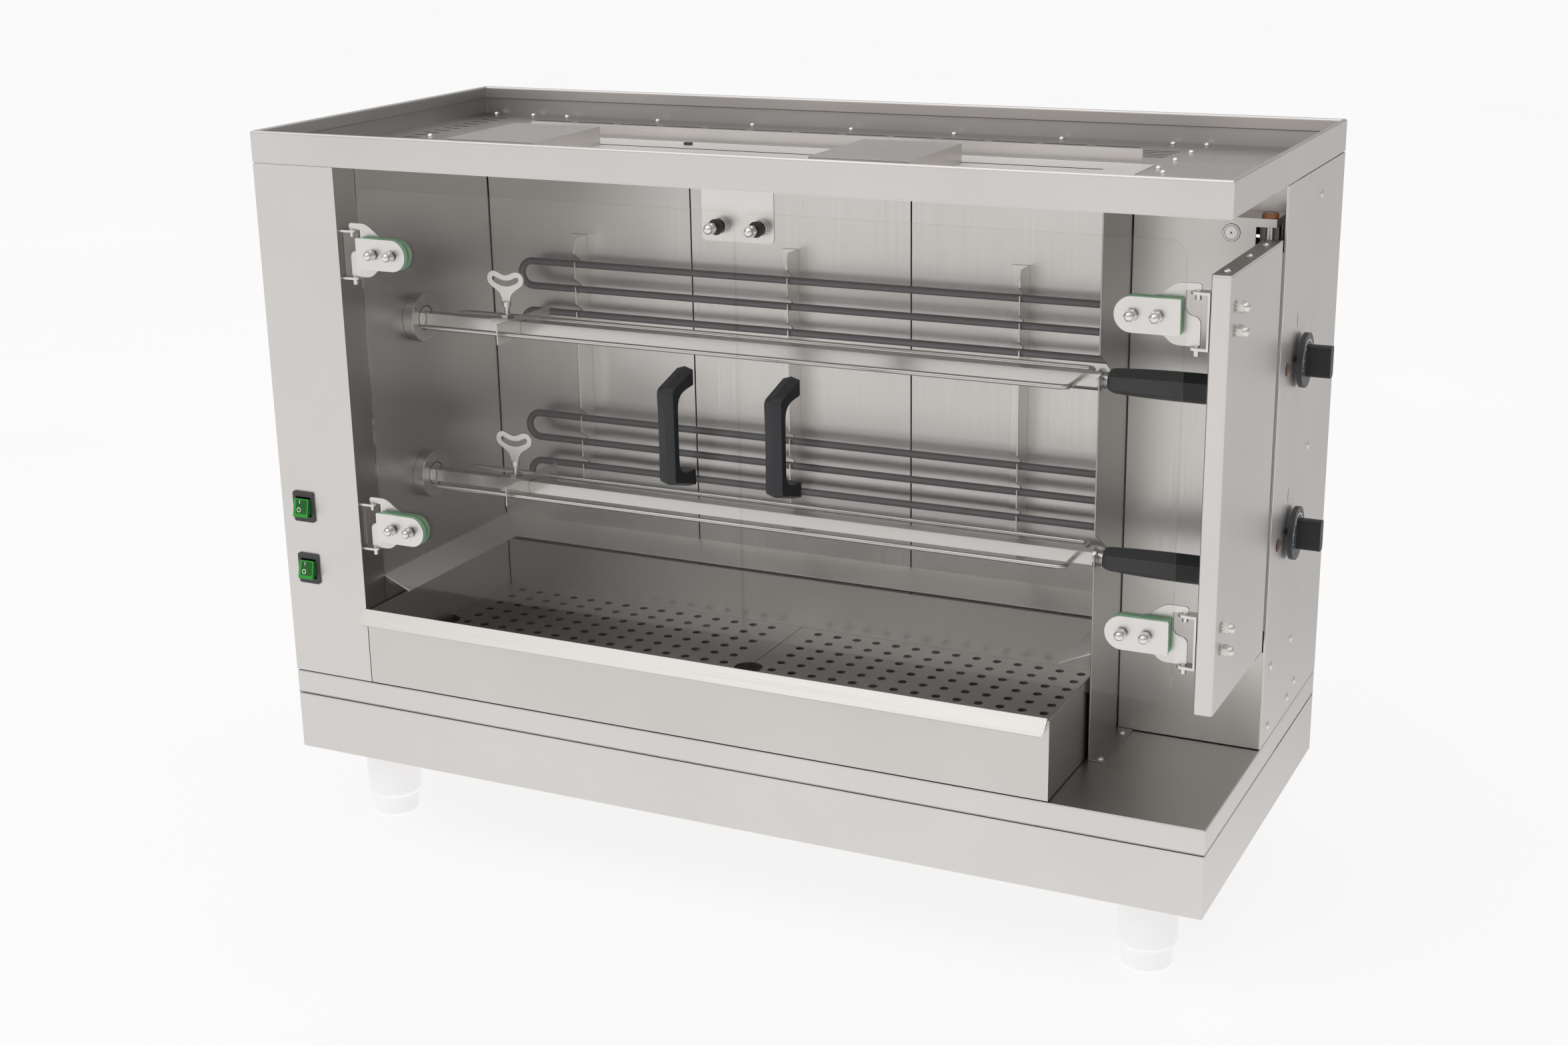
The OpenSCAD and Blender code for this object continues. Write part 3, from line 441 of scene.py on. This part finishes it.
def cap_nut(nut, stud, origin, axis):
    """Domed cap nut on a threaded stud end, as the clamp plates carry it."""
    stud.lathe(origin, axis, [(-0.3, 3.1)] + [(0.1 + 0.25 * i, 3.2 if i % 2 else 2.75) for i in range(9)] + [(2.6, 2.9)], 24)
    dome = [(8.0 + 4.8 * math.sin(math.radians(w)), 4.8 * math.cos(math.radians(w))) for w in range(0, 90, 9)] + [(12.79, 0.15)]
    nut.lathe(origin, axis, [(2.0, 5.1), (2.5, 6.3, True), (6.2, 6.3, True), (6.8, 5.3), (6.85, 4.55), (7.5, 4.5), (7.7, 4.78)] + dome, 48, hexed)


HZ = (577.8, 278.2)
US = (33.0, 56.0)
for side, sx, px, body in (("left", 1, -409.8, "door_left"), ("right", -1, 494.8, "door_right")):
    plate = Piece("clamp_plates_" + side, body, "small", "steel_small")
    pads = Piece("clamp_pads_" + side, body, "pad", "green_plastic")
    nuts = Piece("cap_nuts_" + side, body, "nut", "steel_small")
    studs = Piece("clamp_studs_" + side, body, "stud", "steel_small")
    for hz in HZ:
        def spot(u, v, t, hz=hz, px=px, sx=sx):
            return (px + sx * u, t, hz + v)
        holes = [circle(u, 0, 3.3) for u in US]
        plate.prism(paddle(12, 56.3, 16.5, 1.2), spot, -2.5, -0.6, holes)
        pads.prism(paddle(12.6, 56.4, 16.4, 1.2), spot, -0.55, 3.45, holes)
        pads.prism(paddle(12.6, 56.4, 16.4, 1.2), spot, 8.55, 9.0, holes)
        for u in US:
            x = px + sx * u
            cap_nut(nuts, studs, (x, -2.5, hz), (0, -1, 0))
            nuts.lathe((x, 11, hz), (0, 1, 0), [(0, 5.4), (0.3, 5.6), (1.7, 5.5), (2.5, 4.4), (2.9, 2.4), (3.0, 0.1)], 32)
            studs.lathe((x, 9.2, hz), (0, 1, 0), [(0, 3.0), (1.9, 3.0)], 20)
    sxn, hx = (23.5, -15.0) if side == "left" else (66.5, 101.2)
    wash = Piece("stop_washers_" + side, body, "washer", "black_plastic")
    wash.lathe((sxn, 3.45, 630), (0, -1, 0), [(0, 7.6), (0.3, 7.8), (1.2, 7.8), (1.6, 7.3), (1.65, 5.6), (2.2, 5.0), (9.4, 4.9)], 40)
    nuts.lathe((sxn, 8.55, 630), (0, 1, 0), [(0, 7.8), (1.1, 7.8), (1.5, 7.2)], 40)
    cap_nut(nuts, studs, (sxn, -4.0, 630), (0, -1, 0))
    for s in (-1, 1):
        nuts.lathe((hx, 8.55, 428.5 + s * 50), (0, 1, 0), [(0, 4.9), (0.5, 5.0), (1.1, 4.3), (1.5, 2.6), (1.6, 0.1)], 32)
    plate.done(0.35, 2, stands_for=("clamp_sets_" + side,))
    pads.done(0.25)
    nuts.done(crease=32)
    studs.done()
    wash.done(0.2)

# door handles: a bow whose outer face rises to a soft ridge along its middle
OUTER = [(3.5, 61.5), (-12.0, 56.9), (-24.0, 53.4), (-33.5, 50.5), (-37.3, 49.2), (-39.6, 47.3), (-40.4, 44.4), (-40.5, 33.0), (-40.5, 14.0)]
INNER = [(3.5, 42.8), (-9.0, 41.8), (-17.0, 40.4), (-22.5, 38.0), (-25.6, 35.2), (-27.4, 32.2), (-28.3, 29.0), (-28.5, 24.0), (-28.5, 14.0)]
for side, hx in (("left", -15.0), ("right", 101.2)):
    g = Piece("door_handle_" + side, "door_" + side, "black", "black_plastic")
    path = [(o, i) for o, i in zip(OUTER, INNER)]
    path += [((o[0], -o[1]), (i[0], -i[1])) for o, i in reversed(path)]
    rings = []
    for o, i in path:
        d = Vector((i[0] - o[0], i[1] - o[1])).normalized()
        def at(w, depth, o=o, i=i, d=d, hx=hx):
            return (hx + w, o[0] + d.x * depth, 428.5 + o[1] + d.y * depth)
        wide = math.hypot(i[0] - o[0], i[1] - o[1])
        rings.append([at(-9.0, 3.3), at(-8.6, 2.6), at(0, 0.0), at(8.6, 2.6), at(9.0, 3.3),
                      at(9.0, wide - 1.0), at(8.2, wide), at(-8.2, wide), at(-9.0, wide - 1.0)])
    g.skin(rings)
    bow = g.done(stands_for=("handle_" + side,), crease=30)
    # painted shade: the bow's +x side faces get a darker copy of the black plastic
    bow.data.materials.append(M["black_side"])
    for f in bow.data.polygons:
        if f.normal.x > 0.9:
            f.material_index = 1


# spit grips: six soft flats that swell toward the end
def grip_ring(x, r, zc, soft):
    ring = []
    for i in range(48):
        w = 2 * math.pi * i / 48
        d = (math.degrees(w)) % 60 - 30
        hexr = math.cos(math.radians(30)) / math.cos(math.radians(d))
        k = hexr * (1 - soft) + 0.955 * soft
        ring.append((x, 131 + r * k * math.sin(w), zc + r * k * math.cos(w)))
    return ring


GRIP = [(379.0, 8.8), (379.3, 9.8), (380.2, 11.0), (382.0, 12.0), (386.0, 12.7), (396.0, 13.3), (410.0, 14.0), (428.0, 14.6), (446.0, 14.9), (470.0, 15.0),
        (480.0, 14.8), (484.5, 14.0), (487.0, 12.6), (487.9, 10.6), (488.0, 8.5)]
for tag, zc in (("upper", 482.6), ("lower", 302.6)):
    g = Piece("spit_grip_" + tag, tag + "_spit", "black", "black_plastic")
    g.skin([grip_ring(x, r, zc, 0.12 if 381 < x < 486 else 0.6) for x, r in GRIP])
    g.done(stands_for=("spit_handle_" + tag,), crease=40)
    tip = Piece("spit_tip_" + tag, tag + "_spit", "nut", "spit_steel")
    tip.lathe((487.6, 131, zc), (1, 0, 0), [(0, 5.2), (0.5, 5.2), (1.1, 4.6), (1.5, 2.4), (1.55, 0.1)], 32)
    tip.done()

# shade around the drive sockets
for tag, zc in (("upper", 482.6), ("lower", 302.6)):
    g = Piece("socket_ring_" + tag, tag + "_spit", "gap", "steel_small")
    a, b = [[(131 + rad * math.sin(2 * math.pi * i / 40), zc + rad * math.cos(2 * math.pi * i / 40)) for i in range(40)] for rad in (12.3, 13.5)]
    g.skin([[(-409.55, *p), (-409.55, *q), (-409.46, *q), (-409.46, *p)] for p, q in zip(a, b)], loop=True)
    g.done()

# dials: printed sweep, dot, ticks and numbers on the disc
SEG = {"1": "bc", "2": "abged", "3": "abgcd", "4": "fgbc", "5": "afgcd", "6": "afgedc"}
BARS = {"a": (0, 1, 1, 1), "b": (1, 0.5, 1, 1), "c": (1, 0, 1, 0.5), "d": (0, 0, 1, 0), "e": (0, 0, 0, 0.5), "f": (0, 0.5, 0, 1), "g": (0, 0.5, 1, 0.5)}
for tag, zc in (("upper", 482.5), ("lower", 302.7)):
    face = Piece("dial_face_" + tag, tag + "_knob", "dial", "black_plastic")
    face.lathe((533.9, 284, zc), (1, 0, 0), [(0, 26.3), (0.18, 26.2), (0.2, 25.9)], 72)
    face.done()
    pr = Piece("dial_print_" + tag, tag + "_knob", "mark", "white_plastic")

    def dial(a, r, t, zc=zc):
        w = math.radians(a)
        return (534.1 + t, 284 + r * math.sin(w), zc + r * math.cos(w))
    rows = []
    for i in range(61):
        a = -100 + 230 * i / 60
        half = 0.35 + 0.75 * i / 60
        rows.append([dial(a, 20.5 - half, 0), dial(a, 20.5 + half, 0), dial(a, 20.5 + half, 0.12), dial(a, 20.5 - half, 0.12)])
    pr.skin(rows)
    mid = dial(-108, 20.5, 0)
    pr.lathe(mid, (1, 0, 0), [(0, 0.95), (0.12, 0.95)], 20)
    for k in range(6):
        a = -80 + 42 * k
        rows = [[dial(a - 0.6, 22.8, t), dial(a + 0.6, 22.8, t), dial(a + 0.6, 24.2, t), dial(a - 0.6, 24.2, t)] for t in (0, 0.12)]
        pr.skin(rows)
        base = dial(a, 16.6, 0)
        for sname in SEG[str(k + 1)]:
            x0, y0, x1, y1 = BARS[sname]
            u0, v0, u1, v1 = (x0 - 0.5) * 1.5, (y0 - 0.5) * 2.6, (x1 - 0.5) * 1.5, (y1 - 0.5) * 2.6
            du, dv = (0.17, 0.17)
            lo_u, hi_u, lo_v, hi_v = min(u0, u1) - du, max(u0, u1) + du, min(v0, v1) - dv, max(v0, v1) + dv
            pr.skin([[(base[0] + t, base[1] + lo_u, base[2] + lo_v), (base[0] + t, base[1] + hi_u, base[2] + lo_v),
                      (base[0] + t, base[1] + hi_u, base[2] + hi_v), (base[0] + t, base[1] + lo_u, base[2] + hi_v)] for t in (0, 0.12)])
    pr.done()
    # plain heater sign printed on the side cover above the dial
    sign = Piece("heater_sign_" + tag, "cabinet", "ink", "black_plastic")
    sz = zc + 44
    pts = [(0.0, 0.0), (0.0, 2.0), (1.4, 3.4), (-1.4, 5.4), (1.4, 7.4), (-1.4, 9.4), (1.4, 11.4), (0.0, 12.8), (0.0, 15.0)]
    for (u0, v0), (u1, v1) in zip(pts, pts[1:]):
        d = Vector((u1 - u0, v1 - v0)).normalized() * 0.42
        n = Vector((-d.y, d.x))
        quad = [(u0 - d.x + n.x, v0 - d.y + n.y), (u0 - d.x - n.x, v0 - d.y - n.y), (u1 + d.x - n.x, v1 + d.y - n.y), (u1 + d.x + n.x, v1 + d.y + n.y)]
        sign.skin([[(525.0 + t, 270 + u, sz - 8 + v) for u, v in quad] for t in (0, 0.08)])
    sign.done()
    lamp = Piece("lamp_lens_" + tag, "cabinet", "lens", "lens")
    lamp.lathe((525.0, 235.8, zc), (1, 0, 0), [(0, 6.6), (1.2, 6.6), (1.55, 6.2), (1.6, 5.5), (2.2, 5.3), (2.9, 4.3), (3.3, 2.6), (3.4, 0.1)], 40)
    lamp.done(stands_for=("indicator_lamps",) if tag == "upper" else ())

# rockers: clear green caps with a deeper face and white signs
for tag, zc in (("upper", 290.2), ("lower", 218.6)):
    def on_face(u, v, t, zc=zc):
        # the face runs from (y -5.1, z +10) to (y -9.7, z -10)
        k = (10 - v) / 20
        return (-494.6 + u, -5.1 - 4.6 * k - t, zc + v)
    deep = Piece("rocker_face_" + tag, tag + "_rocker", "green_deep", "green_plastic")
    deep.skin([[on_face(-6.4, -6.2, t), on_face(8.0, -6.2, t), on_face(8.0, 8.8, t), on_face(-6.4, 8.8, t)] for t in (-0.4, 0.03)])
    deep.done()
    sign = Piece("rocker_signs_" + tag, tag + "_rocker", "mark", "white_plastic")
    sign.skin([[on_face(-2.2, 4.7, t), on_face(-1.4, 4.7, t), on_face(-1.4, 8.3, t), on_face(-2.2, 8.3, t)] for t in (0.0, 0.1)])
    outer, inner = circle(-2.3, -2.1, 2.6, 36), circle(-2.3, -2.1, 1.8, 36)
    rows = []
    for (a0, b0), (a1, b1) in zip(outer, inner):
        rows.append([on_face(a0, b0, 0.0), on_face(a0, b0, 0.1), on_face(a1, b1, 0.1), on_face(a1, b1, 0.0)])
    sign.skin(rows, loop=True)
    sign.done()

# gallery rim: folded sheet with a rounded top bend and an inner return
prof = [(0.0, 667.0), (0.0, 697.4)] + arc(2.6, 697.4, 2.6, 180, 90, 6)[1:] + arc(2.6, 697.4, 2.6, 90, 0, 6)[1:] + [(5.2, 686.5), (3.7, 686.5), (3.7, 697.0), (2.6, 698.3), (1.5, 697.0), (1.5, 667.0)]
rim = Piece("rim_sheet", "cabinet", "body", "steel")
rows = []
for sx_, sy_ in ((-1, 0), (1, 0), (1, 1), (-1, 1)):
    rows.append([(sx_ * (525 - d), (d if sy_ == 0 else 450 - d), z) for d, z in prof])
rim.skin(rows, loop=True)
rim_o = rim.done(0.5, 2, 50, stands_for=("gallery_rim",))
# painted shade: the left rim's inner faces get a darker copy of the body steel
rim_o.data.materials.append(M["rim_left"])
for f in rim_o.data.polygons:
    if f.normal.x > 0.9 and f.center.x < -0.3:
        f.material_index = 1
weld = Piece("rim_corner_notches", "cabinet", "gap", "steel")
for cx_, cy_, d1, d2 in ((525, 0, -1, 1), (-525, 0, 1, 1), (525, 450, -1, -1), (-525, 450, 1, -1)):
    weld.lathe((cx_ + d1 * 1.1, cy_ + d2 * 1.1, 697.3), (0, 0, 1), [(0, 0.9), (1.2, 1.0), (1.6, 0.5)], 16)
weld.done()

# painted shadow: a dark grey strip under the rim's inner fold stands for the shadow line there
fold = Piece("rim_fold_shade", "cabinet", "ink", "steel")
fold.skin([[(-519.75, 5.25, z), (519.75, 5.25, z), (519.75, 444.75, z), (-519.75, 444.75, z)] for z in (685.9, 686.5)], cap0=False, cap1=False)
fold.done()

# shade inside the deck slits, and the clip on the rod under the deck
slot = Piece("deck_slit_shade", "cabinet", "gap", "steel_deck")


def slab(part, x0, x1, y0, y1, z0, z1):
    part.skin([[(x0, y0, z), (x1, y0, z), (x1, y1, z), (x0, y1, z)] for z in (z0, z1)])


for k in range(13):
    slab(slot, -422.4 + 57.9 * k, -373.4 + 57.9 * k, 397.6, 401.4, 667.2, 668.03)
for k in range(18):
    slab(slot, -488, -467, 401.2 - 20 * k, 404.8 - 20 * k, 667.2, 668.03)
for k in range(5):
    slab(slot, 312 + k, 366 + k, 333.2 + 11 * k, 336.8 + 11 * k, 667.2, 668.03)
slab(slot, -367, 370, 282, 288, 667.2, 668.03)
slab(slot, -340, 335, 229, 233.5, 667.9, 668.83)
slot.done()
clip = Piece("rod_clip", "cabinet", "dark", "black_plastic")
slab(clip, -145.5, -136.5, 255.5, 260.5, 668.3, 671.6)
slab(clip, -142.2, -139.8, 256.8, 259.2, 666.2, 668.3)
clip.done(0.5)

# shade in the sheet seams: between the rear panels and in the upright corners
seams = Piece("panel_seam_shade", "cabinet", "gap", "steel")
for x in (-157.0, 108.0):
    slab(seams, x - 0.8, x + 0.8, 288.5, 289.3, 95, 665)
for z0, z1 in ((95, 192), (210, 665)):
    slab(seams, -421.98, -421.2, 287.2, 287.98, z0, z1)
slab(seams, 375.02, 375.9, 204.1, 204.98, 95, 665)
slab(seams, -388, 341, 255.3, 256.6, 191.2, 192.5)
seams.done()
under = Piece("drawer_foot_shade", "drawer", "gap", "steel_inner")
slab(under, -420.4, 366.6, 0.8, 1.6, 93.4, 94.6)
slab(under, -419.48, -418.8, 284.8, 285.48, 96.2, 178)
under.done()
# painted highlight: the side cover's front bend is drawn in a brighter copy of the steel
bend = Piece("cover_front_bend", "cabinet", "edge", "steel")
sect = [(525.03, 208.5), (525.03, 206.6)] + arc(523.4, 206.6, 1.63, 0, -90, 6)[1:] + [(523.0, 204.97), (523.0, 205.3), (524.6, 208.5)]
bend.skin([[(x, y, z) for x, y in sect] for z in (94.5, 665.5)])
bend.done()

back = Piece("bay_returns", "cabinet", "return", "steel_inner")
slab(back, 519.5, 523.0, 204.7, 205.0, 222, 603)
slab(back, 495.5, 513.4, 221.0, 221.6, 603.2, 625.3)
back.done()
ring = Piece("plug_rings", "cabinet", "ink", "steel_small")
for r0, r1, y in ((8.15, 8.75, 204.9), (6.2, 6.7, 203.9)):
    a, b = circle(472, 619, r0, 40), circle(472, 619, r1, 40)
    ring.skin([[(p[0], y, p[1]), (q[0], y, q[1]), (q[0], y + 0.08, q[1]), (p[0], y + 0.08, p[1])] for p, q in zip(a, b)], loop=True)
ring.lathe((472, 203.95, 619), (0, -1, 0), [(0, 1.0), (0.1, 1.0)], 20)
ring.done()

# top of the gate: cap sheet painted darker for the shade on the gate's top, with its front lip and its rivets painted
# bright as a highlight
cap = Piece("gate_cap", "gate", "cap", "steel")
slab(cap, 507.9, 524.1, 6.4, 189.5, 616.9, 617.2)
cap.done(0.1)
lip = Piece("gate_cap_lip", "gate", "edge", "steel_small")
lip.skin([[(x, 3.1, 616.4), (x, 3.1, 617.0), (x, 4.2, 617.25), (x, 6.2, 617.25), (x, 6.2, 616.4)] for x in (510.2, 521.8)])
for y in (24, 101, 160):
    lip.lathe((515.5, y, 616.9), (0, 0, 1), [(0, 3.6), (0.4, 3.6), (1.3, 3.2), (2.1, 2.3), (2.65, 1.0), (2.72, 0.1)], 28)
lip.done()

# ---------------------------------------------------------------- room, light and camera
floor_m = Mat("studio_floor")
pale = floor_m.noise(floor_m.coords(), 1.2, 2.0)
floor_m.link(floor_m.ramp(pale, [(0.3, (0.185, 0.185, 0.185)), (0.7, (0.20, 0.20, 0.20))]), floor_m.b.inputs["Base Color"])
floor_m.b.inputs["Roughness"].default_value = 0.9
floor_m.b.inputs["Specular IOR Level"].default_value = 0.0
floor_m.b.inputs["Emission Color"].default_value = (1, 1, 1, 1)
floor_m.b.inputs["Emission Strength"].default_value = 0.805
pool = floor_m.node("ShaderNodeEmission")
where = floor_m.node("ShaderNodeSeparateXYZ")
floor_m.link(floor_m.coords(), where.inputs["Vector"])
fade = floor_m.remap(where.outputs["Y"], 0.98, 0.62, -0.25, 0.9)
floor_m.link(fade, pool.inputs["Strength"])
seen = floor_m.node("ShaderNodeLightPath")
both = floor_m.node("ShaderNodeMixShader")
floor_m.link(seen.outputs["Is Camera Ray"], both.inputs["Fac"])
floor_m.link(pool.outputs["Emission"], both.inputs[1])
floor_m.link(floor_m.b.outputs["BSDF"], both.inputs[2])
floor_m.link(both.outputs["Shader"], floor_m.out.inputs["Surface"])
bpy.ops.mesh.primitive_plane_add(size=80, location=(0, 0, -0.0004))
floor = bpy.context.object
floor.name = "studio_floor"
floor.data.materials.append(floor_m.m)

world = bpy.data.worlds.new("studio")
scene.world = world
world.use_nodes = True
wt = world.node_tree
bg = wt.nodes["Background"]
tc = wt.nodes.new("ShaderNodeTexCoord")
sep = wt.nodes.new("ShaderNodeSeparateXYZ")
wt.links.new(tc.outputs["Generated"], sep.inputs["Vector"])
ramp = wt.nodes.new("ShaderNodeValToRGB")
wt.links.new(sep.outputs["Z"], ramp.inputs["Fac"])
SKY = [(0.0, 0.84), (0.12, 0.46), (0.30, 0.33), (0.55, 0.42), (0.80, 1.0), (1.0, 1.2)]
els = ramp.color_ramp.elements
while len(els) < len(SKY):
    els.new(0.5)
for el, (pos, v) in zip(els, SKY):
    el.position = pos
    el.color = (v, v, v, 1)
wt.links.new(ramp.outputs["Color"], bg.inputs["Color"])
bg.inputs["Strength"].default_value = 1.0


def area(name, loc, target, size, power, colour=(1, 1, 1)):
    d = bpy.data.lights.new(name, "AREA")
    d.shape = "RECTANGLE"
    d.size, d.size_y = size
    d.energy = power
    d.color = colour
    o = bpy.data.objects.new(name, d)
    scene.collection.objects.link(o)
    o.location = loc
    o.rotation_mode = "QUATERNION"
    o.rotation_quaternion = (Vector(target) - Vector(loc)).to_track_quat("-Z", "Y")
    return o


area("key_light", (-1.2, -2.6, 3.4), (0, 0, 0.4), (4.6, 3.6), 33)

cam = bpy.data.cameras.new("camera")
cam_o = bpy.data.objects.new("camera", cam)
scene.collection.objects.link(cam_o)
cam.lens = 50.171
cam.sensor_width = 36.0
cam.clip_start, cam.clip_end = 0.05, 100
az, el, roll = (math.radians(a) for a in (25.99646, 17.38884, -0.97383))
back = Vector((math.sin(az) * math.cos(el), -math.cos(az) * math.cos(el), math.sin(el)))
right = (-back).cross(Vector((0, 0, 1))).normalized()
up = right.cross(-back)
r2 = right * math.cos(roll) + up * math.sin(roll)
u2 = -right * math.sin(roll) + up * math.cos(roll)
rotation = Matrix((r2, u2, back)).transposed()
cam_o.matrix_world = Matrix.Translation((0.974058, -2.054224, 1.077257)) @ rotation.to_4x4()
scene.camera = cam_o
scene.view_settings.view_transform = "Standard"
scene.view_settings.look = "None"
